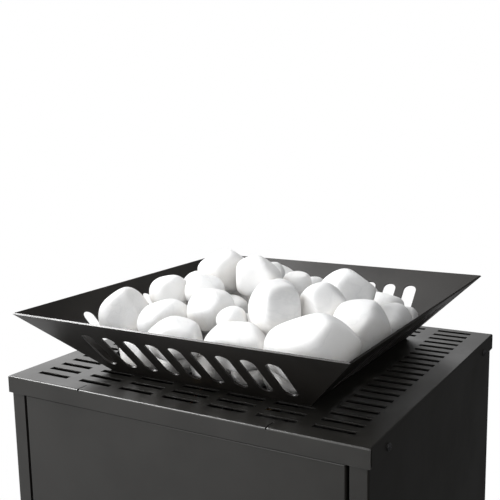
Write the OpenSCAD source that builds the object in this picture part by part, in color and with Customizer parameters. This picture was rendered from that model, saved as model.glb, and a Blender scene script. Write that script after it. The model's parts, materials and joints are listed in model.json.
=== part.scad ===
// Square fire pit column: a sheet steel cabinet with a slotted lid (the grate), and a
// flared stone tray that stands over a ring burner. Millimetres, +Z up, the origin on
// the ground under the middle of the cabinet, the door facing -Y.

/* [Cabinet] */
// Width of the lid, side to side
lid_w = 450; // [440:1:470]
// Depth of the lid, front to back
lid_d = 427; // [420:1:440]
// Height of the top of the lid above the ground
lid_top = 680; // [650:5:760]
// Depth of the lip folded down round the lid
lip_h = 20; // [18:1:24]
// Thickness of the cabinet's sheet steel
sheet = 1.5; // [1.2:0.1:1.8]
// Room between the lid's lip and the cabinet
lid_room = 1; // [0.6:0.1:1.5]
// Height of the feet
foot_h = 20; // [15:1:30]
// Width of the front face of each corner post
post_w = 18.8; // [18:0.2:22]
// Gap between the door and each corner post
door_gap = 3.7; // [3.5:0.1:4.5]
// Depth of the door's folded edges
door_deep = 18; // [16:1:20]

/* [Lid slots] */
// Length of one slot
slot_l = 44.3; // [40:0.1:46]
// Width of one slot
slot_w = 8; // [6:0.1:9]
// Step between slots, front to back
slot_step = 19.2; // [18.8:0.1:19.3]
// Slots in each side column
column_slots = 21; // [18:1:21]
// Middle of the side columns, from the middle of the lid
column_x = 177.8; // [176:0.1:180]
// Middle of the first slot, from the front edge of the lid
first_slot = 26.5; // [24:0.5:28]
// Step between the slots of the front and back blocks, side to side
block_step = 57.8; // [56:0.1:58]

/* [Stone tray] */
// Width of the tray at its rim
rim_w = 414; // [404:1:416]
// Depth of the tray at its rim
rim_d = 434; // [424:1:434]
// Height of the rim above the lid
rim_h = 76; // [72:1:80]
// Thickness of the tray's sheet
tray_sheet = 2; // [1.5:0.1:2.5]
// Width of one slot in a tray wall
gill_w = 17; // [12:0.5:18]
// Length of one slot in a tray wall
gill_l = 65; // [50:1:66]
// Step between the slots of a tray wall
gill_step = 29.2; // [26:0.1:29.4]
// Width of the round opening over the burner
burner_hole = 170; // [160:1:176]

/* [Hidden] */
$fn = 48;

coat = "#2b2b2d";                       // satin black powder coat
eps = 0.01;                             // overlap that keeps cuts clean

// Cabinet outline
body_x = lid_w / 2 - sheet - lid_room;  // outer faces of the side panels
body_y = lid_d / 2 - sheet - lid_room;  // outer faces of the posts and back returns
panel_top = lid_top - sheet;
floor_z = foot_h;
post_in = body_x - post_w;              // inner edge of a post
post_deep = 40;                         // depth of a post's inner return
return_w = 20;                          // width of the side panels' back returns
flange_h = 25;                          // height of the base plate's flanges
rail_z = lid_top - 18;                  // underside of the front top rail
rail_deep = 21;
rivet_r = 2;
screw_r = 2;
rivet_head_r = 3.4;
rivet_head_h = 1.2;

// Door
door_x = post_in - door_gap;            // half the door's width
door_top = lid_top - lip_h - 1;
door_bottom = floor_z + 4.5;
door_front = -body_y;
door_back = door_front + door_deep;
hem_w = 15;                             // inward fold round the back of the door
hinge_x = door_x - 7;
hinge_y = door_front + 7.5;
pin_r = 3;
pin_play = 0.05;                        // radial running clearance of the hinge pins
bush_r = 4;
bush_flange_r = 5.5;
bush_flange_h = 1.5;
pin_in_door = 17;
catch_z = 430;
latch_z = 350;
latch_x = -door_x + 30;
latch_r = 9;
cam_y = door_front + 20;                // front face of the latch's tongue
pull_x = -door_x + 62;
pull_z = 420;
pull_w = 44;
pull_h = 96;
pull_deep = 13;

// Gas train, under the lid
shield_z = lid_top - 130;
shield_front = -166;
shield_back = 190;
bracket_y = -165;                       // back face of the control bracket's plate
bracket_w = 160;
bracket_bottom = lid_top - 112;
control_z = lid_top - 66;
valve_x = -36;
hose_hole_r = 12;                       // in the floor and the heat shield, under the valve
igniter_x = 36;
collar_y = bracket_y - 8.6;             // back face of the key ring, clear of the valve by its travel
jet_z = lid_top - 66;                   // height of the gas pipe's run
pipe_r = 4;
tube_r = 11;                            // mixing tube
tube_bottom = jet_z + 20;
lead_r = 1.6;
lead_x = 63;                            // how far out the leads run, clear of the jet

// Burner, over the lid
ring_z = lid_top + 22;
ring_r = 55;
ring_tube = 9;
hub_r = 18;
flange_r = 44;
probe_x = 12;
probe_y = -33;
probe_low = lid_top - 14;               // lower ends of the electrode and the thermocouple

// Tray
tray_z = lid_top;
half_w = rim_w / 2 - rim_h;             // half the tray's width at the lid
half_d = rim_d / 2 - rim_h;             // half the tray's depth at the lid
diag = sqrt(2);
gill_mid = rim_h * diag * 0.462;        // middle of a slot, up the slope
gill_count = 9;

// ---- shared shapes

module box(x0, x1, y0, y1, z0, z1) {
  translate([x0, y0, z0]) cube([x1 - x0, y1 - y0, z1 - z0]);
}
module centred(w, d, z0, z1) {
  translate([-w / 2, -d / 2, z0]) cube([w, d, z1 - z0]);
}
module obround(w, l) {                  // upright slot outline with round ends
  square([w, l - w], center = true);
  for (s = [-1, 1]) translate([0, s * (l - w) / 2]) circle(d = w);
}
// Catmull-Rom curve through a route's points, k steps to a stretch
function curve_point(a, b, c, d, u) =
  0.5 * (2 * b + (c - a) * u + (2 * a - 5 * b + 4 * c - d) * u * u
         + (3 * b - a - 3 * c + d) * u * u * u);
function smooth(p, k) = let (n = len(p)) concat(
  [for (i = [0:n - 2], j = [0:k - 1])
    curve_point(p[max(i - 1, 0)], p[i], p[i + 1], p[min(i + 2, n - 1)], j / k)],
  [p[n - 1]]);
function unit(v) = v / norm(v);
// Thin lead: rings of 8 points square to the curve, swept along it and closed at its ends
module lead(route, r) {
  p = smooth(route, 4);
  n = len(p);
  lean = [0.62, 0.35, 0.7];             // never along the lead, so it can set the rings
  ring = [for (i = [0:n - 1])
    let (t = unit(p[min(i + 1, n - 1)] - p[max(i - 1, 0)]),
         a = unit(cross(t, lean)), b = cross(t, a))
    for (j = [0:7]) p[i] + r * (cos(45 * j) * a + sin(45 * j) * b)];
  sides = [for (i = [0:n - 2], j = [0:7])
    let (a = i * 8 + j, b = i * 8 + (j + 1) % 8) each [[a, a + 8, b + 8], [a, b + 8, b]]];
  ends = [for (j = [1:6]) each [[0, j, j + 1], [(n - 1) * 8, (n - 1) * 8 + j + 1, (n - 1) * 8 + j]]];
  polyhedron(ring, concat(sides, ends));
}
// Round rod through a list of points, with ball corners
module rod(points, r) {
  for (i = [0:len(points) - 2]) {
    a = points[i];
    b = points[i + 1];
    v = b - a;
    len_v = norm(v);
    translate(a) rotate([0, acos(v[2] / len_v), atan2(v[1], v[0])])
      cylinder(r = r, h = len_v, $fn = 24);
    if (i > 0) translate(a) sphere(r = r, $fn = 24);
  }
}
// Drill for a hole right through one sheet or two
module through(r) {
  cylinder(r = r, h = 12, center = true);
}
// Blind rivet: a domed head proud of z = 0 and a short shank below it
module rivet(grip = 3) {
  cylinder(r1 = rivet_head_r, r2 = rivet_head_r * 0.6, h = rivet_head_h);
  translate([0, 0, -grip]) cylinder(r = rivet_r, h = grip + eps);
}
// Pan head screw with a cross recess, head proud of z = 0, shank below it
module screw(head_r, head_h, shank_r, shank_l) {
  difference() {
    union() {
      cylinder(r = head_r, h = head_h * 0.6);
      translate([0, 0, head_h * 0.6 - eps])
        cylinder(r1 = head_r, r2 = head_r * 0.6, h = head_h * 0.4);
      translate([0, 0, -shank_l]) cylinder(r = shank_r, h = shank_l + eps);
    }
    for (a = [0, 90]) rotate(a)
      translate([-head_r * 0.5, -0.5, head_h * 0.45]) cube([head_r, 1, head_h]);
  }
}
module hex_nut(across, bore_r, h) {
  difference() {
    cylinder(d = across / cos(30), h = h, $fn = 6);
    translate([0, 0, -eps]) cylinder(r = bore_r, h = h + 2 * eps);
  }
}

// ---- where the fasteners go

lid_screw_y = lid_d / 2 - 43.7;
lid_screw_z = lid_top - 14.5;
module at_lid_screws() {                // outer faces of the lid's side lips
  for (s = [-1, 1], t = [-1, 1])
    translate([s * lid_w / 2, t * lid_screw_y, lid_screw_z]) rotate([0, s * 90, 0]) children();
}
module at_back_rivets() {
  for (s = [-1, 1], z = [80:150:lid_top - 60])
    translate([s * (body_x - 11), body_y, z]) rotate([-90, 0, 0]) children();
}
module at_base_rivets() {
  for (s = [-1, 1], y = [-150, 0, 150])
    translate([s * body_x, y, floor_z + 14]) rotate([0, s * 90, 0]) children();
}
module at_hose(z) {                      // the hose runs straight down from the valve
  translate([valve_x, bracket_y + 17, z]) children();
}
foot_x = body_x - 32;
foot_y = body_y - 32;
foot_r = 19;
stud_r = 4.2;                           // the foot's push-in stud
module at_feet() {
  for (s = [-1, 1], t = [-1, 1]) translate([s * foot_x, t * foot_y, 0]) children();
}
module at_burner_screws() {
  for (a = [90, 210, 330]) rotate(a) translate([34, 0, 0]) children();
}
module at_bracket_screws() {
  for (s = [-1, 1])
    translate([s * (bracket_w / 2 - 12), -body_y + 11, rail_z + sheet]) children();
}
module at_catch_screws() {
  for (z = [catch_z - 14, catch_z + 14])
    translate([-post_in, -186, z]) rotate([0, 90, 0]) children();
}

// ---- cabinet

module base_plate() {
  x = body_x - sheet;
  y0 = -body_y;
  y1 = body_y - 2 * sheet;
  color(coat) difference() {
    union() {
      box(-x, x, y0 + sheet, y1, floor_z, floor_z + sheet);
      for (s = [-1, 1])
        box(min(s * x, s * (x - sheet)), max(s * x, s * (x - sheet)),
            y0 + post_deep + 2, y1, floor_z, floor_z + flange_h);
      box(-x, x, y1 - sheet, y1, floor_z, floor_z + flange_h);
      box(-post_in + 1, post_in - 1, y0 + sheet, y0 + 2 * sheet, floor_z - 10, floor_z + eps);
    }
    // Floor vents in four rows, in case gas leaks: it is heavier than air
    for (i = [-2:2], y = [-110, -50, 50, 110])
      translate([i * 60, y, floor_z - 1]) linear_extrude(sheet + 2) rotate(90) obround(7, 40);
    at_feet() cylinder(r = stud_r, h = 60);
    at_base_rivets() through(rivet_r);
    at_hose(floor_z) through(hose_hole_r);
    translate([hinge_x, hinge_y, 0]) cylinder(r = bush_r, h = 60);
  }
}

module side_panel() {                   // drawn on the +X side
  z0 = floor_z;
  z1 = panel_top;
  difference() {
    union() {
      box(body_x - sheet, body_x, -body_y, body_y, z0, z1);
      box(post_in, body_x, -body_y, -body_y + sheet, z0, z1);
      box(post_in, post_in + sheet, -body_y, -body_y + post_deep, z0, z1);
      box(body_x - return_w, body_x, body_y - sheet, body_y, z0, z1);
    }
    at_lid_screws() through(screw_r);
    at_base_rivets() through(rivet_r);
    at_back_rivets() through(rivet_r);
    at_catch_holes();
    // The post is notched where the base plate's floor runs through
    box(post_in - 1, post_in + sheet + 1, -body_y + sheet, 0, floor_z - 1, floor_z + sheet);
  }
}
module at_catch_holes() {
  mirror([1, 0, 0]) at_catch_screws() translate([0, 0, -4]) cylinder(r = 1.5, h = 8);
}
module right_side_panel() { color(coat) side_panel(); }
module left_side_panel() {
  color(coat) difference() {
    mirror([1, 0, 0]) side_panel();
    // Keeper slot that the latch's tongue swings into
    box(-post_in - 3, -post_in + 1, cam_y - 1.5, cam_y + 4, latch_z - 36, latch_z + 10);
  }
}

module back_panel() {
  x = body_x - sheet - 1;
  y = body_y - sheet;
  color(coat) difference() {
    box(-x, x, y - sheet, y, floor_z, panel_top);
    at_back_rivets() through(rivet_r);
    // Low and high rows of vents, all below the heat shield
    for (z = [70, 88, shield_z - 40, shield_z - 22], i = [-3:3])
      translate([i * 50, y + 1, z]) rotate([90, 0, 0])
        linear_extrude(sheet + 2) rotate(90) obround(6, 36);
  }
}

module front_top_rail() {               // channel between the posts, with a low lip at the back
  x = post_in;
  y0 = -body_y + sheet;
  color(coat) difference() {
    union() {
      box(-x, x, y0, y0 + rail_deep, rail_z, rail_z + sheet);
      box(-x, x, y0, y0 + sheet, rail_z, panel_top);
      box(-x, x, y0 + rail_deep - sheet, y0 + rail_deep, rail_z, rail_z + 7);
    }
    translate([hinge_x, hinge_y, rail_z - 1]) cylinder(r = bush_r, h = 10);
    at_bracket_screws() through(screw_r);
  }
}

module heat_shield() {                  // spot welded to the side panels by its flanges
  x = body_x - sheet;
  color(coat) difference() {
    union() {
      box(-x, x, shield_front, shield_back, shield_z, shield_z + sheet);
      for (s = [-1, 1])
        box(min(s * x, s * (x - sheet)), max(s * x, s * (x - sheet)),
            shield_front, shield_back, shield_z - 18, shield_z + eps);
    }
    at_hose(shield_z) through(hose_hole_r);
  }
}

module lid() {
  side_x = lid_w / 2 - sheet;
  side_y = lid_d / 2 - sheet;
  front = -lid_d / 2;
  color(coat) difference() {
    centred(lid_w, lid_d, lid_top - lip_h, lid_top);
    centred(2 * side_x, 2 * side_y, lid_top - lip_h - 1, panel_top);
    // Ladder of slots down each side, and three rows of five at the front and back
    for (s = [-1, 1], i = [0:column_slots - 1])
      vent(s * column_x, front + first_slot + i * slot_step);
    for (k = [-2:2], i = [0, 1, 2, column_slots - 3, column_slots - 2, column_slots - 1])
      vent(k * block_step, front + first_slot + i * slot_step);
    // Relief slits behind the front fold
    for (s = [-1, 1])
      translate([s * 118.4 - 0.6, front - 1, panel_top - 1]) cube([1.2, 16, sheet + 2]);
    // Open corners, where the side lips stop short of the front and back lips
    for (s = [-1, 1], t = [-1, 1])
      translate([s * (lid_w / 2) - 3, t * (side_y - 0.9) - 0.9, lid_top - lip_h - 1])
        cube([6, 1.8, lip_h - 1.5]);
    at_lid_screws() through(screw_r + 0.2);
    translate([0, 0, panel_top - 1]) {
      cylinder(r = tube_r + 0.5, h = 5);
      at_burner_screws() cylinder(r = 2, h = 5);
      for (s = [-1, 1]) translate([s * probe_x, probe_y, 0]) cylinder(r = 5, h = 5);
      for (s = [-1, 1]) translate([s * 60, 0, 0]) cylinder(r = 2, h = 5);
    }
  }
}
module vent(x, y) {
  translate([x - slot_l / 2, y - slot_w / 2, panel_top - 1]) cube([slot_l, slot_w, sheet + 2]);
}

module lid_screws() {
  color("#3a3a3c") at_lid_screws() screw(4, 2.6, 1.9, 9);
}
module lid_nuts() {
  color("#9a9c9e") at_lid_screws()
    translate([0, 0, -sheet * 2 - lid_room - 3.2]) hex_nut(7, 1.9, 3.2);
}
module back_rivets() { color(coat) at_back_rivets() rivet(); }
module base_rivets() { color(coat) at_base_rivets() rivet(); }

module feet() {
  color("#1a1a1a") at_feet() {
    cylinder(r1 = foot_r - 2, r2 = foot_r, h = 3);
    translate([0, 0, 3 - eps]) cylinder(r = foot_r, h = foot_h - 3 + eps);
    translate([0, 0, foot_h - eps]) cylinder(r = stud_r, h = sheet + 2 * eps);
    translate([0, 0, foot_h + sheet]) cylinder(r1 = 6, r2 = 3.4, h = 5);
  }
}

module hinge_bushes() {
  color("#d8d4c8") translate([hinge_x, hinge_y, 0]) {
    bush(rail_z);
    mirror([0, 0, 1]) bush(-floor_z - sheet);
  }
}
// Flanged bush under a sheet at height z, its barrel going up through it
module bush(z) {
  translate([0, 0, z]) difference() {
    union() {
      translate([0, 0, -bush_flange_h]) cylinder(r = bush_flange_r, h = bush_flange_h);
      translate([0, 0, -eps]) cylinder(r = bush_r, h = sheet + 1 + eps);
    }
    translate([0, 0, -bush_flange_h - 1]) cylinder(r = pin_r + pin_play, h = 10);
  }
}

module catch_housing() {
  x0 = -post_in;
  color("#1d1d1f") difference() {
    box(x0, x0 + 16, door_back + 4.5, door_back + 16, catch_z - 22, catch_z + 22);
    box(x0 + 4, x0 + 14, door_back + 4, door_back + 12, catch_z - 9, catch_z + 9);
    at_catch_screws() translate([0, 0, -1]) cylinder(r = 1.5, h = 20);
    at_catch_screws() translate([0, 0, 11]) cylinder(r = 3.2, h = 10);
  }
}
module catch_magnet() {
  x0 = -post_in;
  color("#777a7d")
    box(x0 + 4, x0 + 14, door_back + 2, door_back + 12, catch_z - 9, catch_z + 9);
}
module catch_screws() {
  color("#9a9c9e") at_catch_screws() translate([0, 0, 11]) screw(2.8, 1.8, 1.5, 13);
}

// ---- gas train

module control_bracket() {
  y1 = bracket_y;
  color(coat) difference() {
    union() {
      box(-bracket_w / 2, bracket_w / 2, y1 - sheet, y1, bracket_bottom, rail_z);
      box(-bracket_w / 2, bracket_w / 2, -body_y + 3, y1, rail_z - sheet, rail_z);
      box(-bracket_w / 2, bracket_w / 2, y1 - sheet, y1 + 12, bracket_bottom, bracket_bottom + sheet);
    }
    translate([valve_x, y1 + 1, control_z]) rotate([90, 0, 0]) cylinder(r = 6, h = 8);
    translate([igniter_x, y1 + 1, control_z]) rotate([90, 0, 0]) cylinder(r = 9, h = 8);
    at_bracket_screws() through(screw_r);
  }
}
module bracket_screws() {
  color("#9a9c9e") at_bracket_screws() screw(3.6, 2.2, 2, 3.5);
}

module gas_valve() {
  y0 = bracket_y;
  color("#b9a25e") translate([valve_x, 0, control_z]) difference() {
    union() {
      box(-18, 18, y0, y0 + 34, -20, 18);
      translate([0, y0 + 17, -30]) cylinder(r = 9, h = 11);
      translate([0, y0 + 44, 0]) rotate([90, 0, 0]) cylinder(r = 8, h = 11);
      translate([0, y0, 0]) rotate([90, 0, 0]) cylinder(r = 6, h = 5.5);
    }
    // Stem bore at the front, gas ways in from below and out behind
    translate([0, y0 + 12, 0]) rotate([90, 0, 0]) cylinder(r = 4.05, h = 30);
    translate([0, y0 + 17, -31]) cylinder(r = 5, h = 14);
    translate([0, y0 + 45, 0]) rotate([90, 0, 0]) cylinder(r = pipe_r, h = 14);
  }
}
module valve_nut() {
  color("#c9b26a") translate([valve_x, bracket_y - sheet, control_z]) rotate([90, 0, 0])
    hex_nut(19, 6, 4);
}
module gas_inlet() {                    // hose tail screwed up into the valve
  color("#c9b26a") translate([valve_x, bracket_y + 17, control_z - 30]) difference() {
    union() {
      cylinder(r = 5, h = 12);
      translate([0, 0, -6]) cylinder(d = 17 / cos(30), h = 6, $fn = 6);
      translate([0, 0, -30]) cylinder(r = 4.5, h = 25);
    }
    translate([0, 0, -31]) cylinder(r = 2.5, h = 44);
  }
}
module gas_pipe() {
  color("#b4b6b8") rod([[valve_x, bracket_y + 33, jet_z], [valve_x, -4, jet_z],
                        [valve_x + 4, 0, jet_z], [-6, 0, jet_z]], pipe_r);
}
module injector_block() {
  color("#b9a25e") difference() {
    centred(26, 24, jet_z - 11, jet_z + 8);
    translate([-20, 0, jet_z]) rotate([0, 90, 0]) cylinder(r = pipe_r, h = 14);
    translate([0, 0, jet_z - 2]) cylinder(r = 4, h = 20);
  }
}
module injector() {
  color("#d0b76a") difference() {
    union() {
      translate([0, 0, jet_z - 2]) cylinder(r = 4, h = 14);
      translate([0, 0, jet_z + 11]) cylinder(d = 10 / cos(30), h = 4, $fn = 6);
      translate([0, 0, jet_z + 15 - eps]) cylinder(r1 = 4, r2 = 2, h = 9);
    }
    translate([0, 0, jet_z - 3]) cylinder(r = 0.8, h = 40);
  }
}
module burner_bracket() {               // strap hung under the lid; it carries the jet
  z0 = jet_z + 8;
  color(coat) difference() {
    union() {
      box(-70, 70, -14, 14, z0, z0 + 2);
      for (s = [-1, 1]) {
        box(min(s * 48, s * 50), max(s * 48, s * 50), -14, 14, z0, panel_top);
        box(min(s * 48, s * 70), max(s * 48, s * 70), -14, 14, panel_top - 2, panel_top);
      }
    }
    for (s = [-1, 1]) box(min(s * 50, s * 71), max(s * 50, s * 71), -15, 15, z0 - 1, z0 + 3);
    translate([0, 0, z0 - 1]) cylinder(r = 4, h = 5);
    for (s = [-1, 1]) translate([s * 60, 0, panel_top - 3]) cylinder(r = 2, h = 5);
  }
}
module mixing_tube() {
  color("#a9abad") difference() {
    union() {
      translate([0, 0, tube_bottom]) cylinder(r = tube_r, h = ring_z - 8 - tube_bottom);
      translate([0, 0, tube_bottom]) cylinder(r = tube_r + 2, h = 6);
    }
    translate([0, 0, tube_bottom - 1]) cylinder(r = tube_r - 1.2, h = 100);
    for (a = [0, 90]) rotate(a)
      translate([0, 0, tube_bottom + 12]) rotate([90, 0, 0]) cylinder(r = 4, h = 40, center = true);
  }
}
module burner_flange() {
  color("#8d8f91") translate([0, 0, lid_top]) difference() {
    cylinder(r = flange_r, h = 2);
    translate([0, 0, -1]) cylinder(r = tube_r, h = 5);
    at_burner_screws() translate([0, 0, -1]) cylinder(r = 2, h = 5);
    for (s = [-1, 1]) translate([s * probe_x, probe_y, -1]) cylinder(r = 4, h = 5);
  }
}
module burner_screws() {
  color("#9a9c9e") {
    translate([0, 0, lid_top + 2]) at_burner_screws() screw(3.6, 2.2, 2, 6);
    for (s = [-1, 1])
      translate([s * 60, 0, lid_top]) screw(3.6, 2.2, 2, 6);
  }
}
module burner_ring() {                  // hollow ring, four hollow arms and a cup hub
  port_r = 1;
  color("#a9abad") translate([0, 0, ring_z]) difference() {
    union() {
      rotate_extrude() translate([ring_r, 0]) circle(r = ring_tube);
      for (a = [45, 135]) rotate(a) rotate([90, 0, 0]) cylinder(r = 6, h = 2 * ring_r, center = true);
      translate([0, 0, -10]) cylinder(r = hub_r, h = 18);
    }
    rotate_extrude() translate([ring_r, 0]) circle(r = ring_tube - 1.2);
    for (a = [45, 135]) rotate(a) rotate([90, 0, 0])
      cylinder(r = 4.8, h = 2 * ring_r, center = true);
    translate([0, 0, -12]) cylinder(r = tube_r, h = 5);
    translate([0, 0, -8]) cylinder(r = hub_r - 1.5, h = 14.5);
    for (i = [0:23]) rotate(i * 15) translate([ring_r, 0, 0]) cylinder(r = port_r, h = 12);
  }
}
module electrode_insulator() {
  color("#e9e4d8") translate([probe_x, probe_y, 0]) {
    translate([0, 0, probe_low]) cylinder(r = 4, h = 16);
    translate([0, 0, lid_top + 2 - eps]) cylinder(r = 4.8, h = 14);
  }
}
module electrode_tip() {
  color("#a9abad") translate([probe_x, probe_y, lid_top + 16]) {
    cylinder(r = 1, h = 12);
    translate([0, 0, 12]) rotate([0, 60, atan2(probe_y, probe_x)]) cylinder(r = 1, h = 8);
    translate([0, 0, 12]) sphere(r = 1);
  }
}
module thermocouple() {
  color("#b08d57") translate([-probe_x, probe_y, 0]) {
    translate([0, 0, probe_low]) cylinder(r = 4, h = 16);
    translate([0, 0, lid_top + 2 - eps]) cylinder(r = 4.8, h = 6);
    translate([0, 0, lid_top + 7]) cylinder(r1 = 2.8, r2 = 2.2, h = 23);
  }
}
module thermocouple_lead() {
  color("#b08d57") lead([[-probe_x, probe_y, probe_low - 0.3], [-probe_x, probe_y, probe_low - 10],
    [-lead_x, probe_y - 20, lid_top - 40], [-lead_x, bracket_y + 60, control_z - 12],
    [valve_x - 10, bracket_y + 42, control_z - 12], [valve_x - 10, bracket_y + 34, control_z - 12]],
    lead_r);
}
module igniter_body() {
  color("#1d1d1f") translate([igniter_x, bracket_y, control_z]) rotate([90, 0, 0]) difference() {
    union() {
      translate([0, 0, -40]) cylinder(r = 11, h = 40);
      cylinder(r = 9, h = sheet + 6);
      translate([0, 0, -46]) cylinder(r = 3, h = 7);
    }
    translate([0, 0, -12]) cylinder(r = 6.5, h = 40);
  }
}
module igniter_nut() {
  color("#1d1d1f") translate([igniter_x, bracket_y - sheet, control_z]) rotate([90, 0, 0])
    hex_nut(24, 9, 4);
}
module igniter_lead() {
  color("#232325") lead([[igniter_x, bracket_y + 46, control_z], [igniter_x, bracket_y + 60, control_z],
    [lead_x, bracket_y + 80, control_z + 10], [lead_x, probe_y - 10, lid_top - 36],
    [probe_x, probe_y, probe_low - 10], [probe_x, probe_y, probe_low - 0.3]], 2);
}

// ---- controls that move

module stem_collar() {                  // key ring that the knob pushes in
  color("#c9b26a") translate([valve_x, collar_y, control_z]) rotate([90, 0, 0]) difference() {
    cylinder(r = 6, h = 3);
    translate([0, 0, -1]) cylinder(r = 4.05, h = 5);
  }
}
module valve_stem() {
  color("#a9abad") translate([valve_x, bracket_y, control_z]) rotate([90, 0, 0]) difference() {
    translate([0, 0, -6]) cylinder(r = 4, h = 26);
    translate([2.6, -5, 13]) cube([4, 10, 10]);
  }
}
module control_knob() {
  color("#232325") translate([valve_x, collar_y - 3.6, control_z]) rotate([90, 0, 0]) difference() {
    union() {
      cylinder(r1 = 19, r2 = 18, h = 5);
      translate([0, 0, 5 - eps]) cylinder(r1 = 18, r2 = 16, h = 3);
      translate([0, 0, 3]) intersection() {
        translate([-17, -4.5, 0]) cube([34, 9, 11]);
        cylinder(r = 17, h = 11);
      }
    }
    translate([0, 0, -1]) intersection() {  // D-shaped bore over the stem
      cylinder(r = 4, h = 11);
      translate([-5, -5, 0]) cube([7.6, 10, 20]);
    }
    translate([0, 0, -1]) cylinder(r = 4, h = 3);
    translate([-0.75, 8, 7]) cube([1.5, 7, 3]);
  }
}
module igniter_button() {
  color("#a03a2c") translate([igniter_x, bracket_y, control_z]) rotate([90, 0, 0]) {
    translate([0, 0, 0.5]) cylinder(r = 6.1, h = 12.5);
    translate([0, 0, 13 - eps]) cylinder(r1 = 6.1, r2 = 5, h = 1.2);
  }
}

// ---- door

module door_panel() {
  z0 = door_bottom;
  z1 = door_top;
  color(coat) difference() {
    box(-door_x, door_x, door_front, door_back, z0, z1);
    box(-door_x + sheet, door_x - sheet, door_front + sheet, door_back - sheet, z0 + sheet, z1 - sheet);
    box(-door_x + hem_w, door_x - hem_w, door_front + 5, door_back + 1, z0 + hem_w, z1 - hem_w);
    translate([hinge_x, hinge_y, z0 - 1]) cylinder(r = pin_r, h = z1 - z0 + 2);
    translate([latch_x, door_front - 1, latch_z]) rotate([-90, 0, 0]) cylinder(r = latch_r, h = 4);
    box(pull_x - pull_w / 2, pull_x + pull_w / 2, door_front - 1, door_front + 4,
        pull_z - pull_h / 2, pull_z + pull_h / 2);
  }
}
module hinge_pins() {
  color("#9a9c9e") translate([hinge_x, hinge_y, 0]) {
    translate([0, 0, door_top - pin_in_door]) cylinder(r = pin_r, h = pin_in_door + 5);
    translate([0, 0, door_bottom - 4]) cylinder(r = pin_r, h = pin_in_door + 4);
  }
}
module hinge_gussets() {                // blocks welded into the door round each pin
  h = 12;
  color(coat) for (z = [door_bottom + sheet, door_top - sheet - h]) difference() {
    box(hinge_x - 9, door_x - sheet, door_front + sheet, door_back - sheet, z, z + h);
    translate([hinge_x, hinge_y, z - 1]) cylinder(r = pin_r, h = h + 2);
  }
}
module strike_plate() {
  x0 = -door_x + 1;
  color("#9a9c9e") box(x0, x0 + 13, door_back, door_back + 1.2, catch_z - 18, catch_z + 18);
}
module flush_pull() {                   // cup let into the door
  w = pull_w - 0.4;
  h = pull_h - 0.4;
  y = door_front;
  color("#1d1d1f") translate([pull_x, 0, pull_z]) difference() {
    union() {
      box(-w / 2, w / 2, y - eps, y + pull_deep, -h / 2, h / 2);
      box(-w / 2 - 5, w / 2 + 5, y - 1.6, y, -h / 2 - 5, h / 2 + 5);
    }
    box(-w / 2 + 2, w / 2 - 2, y - 3, y + pull_deep - 2, -h / 2 + 2, h / 2 - 2);
  }
}
module latch_housing() {
  color("#2f3032") translate([latch_x, door_front, latch_z]) rotate([-90, 0, 0]) difference() {
    union() {
      translate([0, 0, -2]) cylinder(r = 12, h = 2);
      translate([0, 0, -eps]) cylinder(r = latch_r, h = 14);
    }
    translate([0, 0, -3]) cylinder(r = 6.05, h = 30);
  }
}
module latch_nut() {
  color("#9a9c9e") translate([latch_x, door_front + sheet, latch_z]) rotate([-90, 0, 0])
    hex_nut(24, latch_r, 4);
}
module latch_core() {
  color("#55575a") translate([latch_x, door_front, latch_z]) rotate([-90, 0, 0]) difference() {
    translate([0, 0, -2.6]) cylinder(r = 6, h = 22.6);
    translate([-4.5, -0.8, -3]) cube([9, 1.6, 2.4]);
  }
}
module latch_cam() {                    // tongue: points down when free, at the post when locked
  color("#9a9c9e") translate([latch_x, cam_y, latch_z]) {
    rotate([-90, 0, 0]) {
      cylinder(r = 9, h = 2.5);
      translate([0, 0, 2.5 - eps]) cylinder(d = 10 / cos(30), h = 3, $fn = 6);
    }
    box(-7, 7, 0, 2.5, -42, 0);
  }
}

// ---- stone tray

// One wall, drawn on the -Y side: its foot runs at y = -out, and is 2 * half long
module tray_wall(out, half) {
  skew = half - out;                    // the mitres are upright planes |x| = -y + skew
  far = out + rim_h + 10;
  t = tray_sheet;
  color(coat) translate([0, 0, tray_z]) difference() {
    intersection() {
      rotate([90, 0, 90]) translate([0, 0, -300]) linear_extrude(600)
        polygon([[-out, 0], [-out - rim_h, rim_h], [-out - rim_h + t / diag, rim_h + t / diag],
                 [-out + t * diag, 0]]);
      translate([0, 0, -5]) linear_extrude(rim_h + 20)
        polygon([[0, skew], [-far - skew, -far], [far + skew, -far]]);
    }
    for (i = [0:gill_count - 1])
      translate([0, -out, 0]) rotate([135, 0, 0])
        translate([(i - (gill_count - 1) / 2) * gill_step, gill_mid, -6])
          linear_extrude(12) obround(gill_w, gill_l);
  }
}
module tray_front_wall() { tray_wall(half_d, half_w); }
module tray_back_wall() { rotate(180) tray_wall(half_d, half_w); }
module tray_left_wall() { rotate(-90) tray_wall(half_w, half_d); }
module tray_right_wall() { rotate(90) tray_wall(half_w, half_d); }
module tray_floor() {
  t = tray_sheet;
  x = half_w - t * diag;
  y = half_d - t * diag;
  color(coat) translate([0, 0, tray_z]) difference() {
    intersection() {
      rotate([90, 0, 90]) translate([0, 0, -200]) linear_extrude(400)
        polygon([[-y, 0], [y, 0], [y + t, t], [-y - t, t]]);
      rotate([90, 0, 0]) translate([0, 0, -200]) linear_extrude(400)
        polygon([[-x, 0], [x, 0], [x + t, t], [-x - t, t]]);
    }
    translate([0, 0, -1]) cylinder(d = burner_hole, h = t + 2);
  }
}

// ---- stones
// Each stone is an oval turned about its own axis: x, y, height over the lid, half its
// length along that axis, its radius across it, the way the axis points, and its tilt

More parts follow.
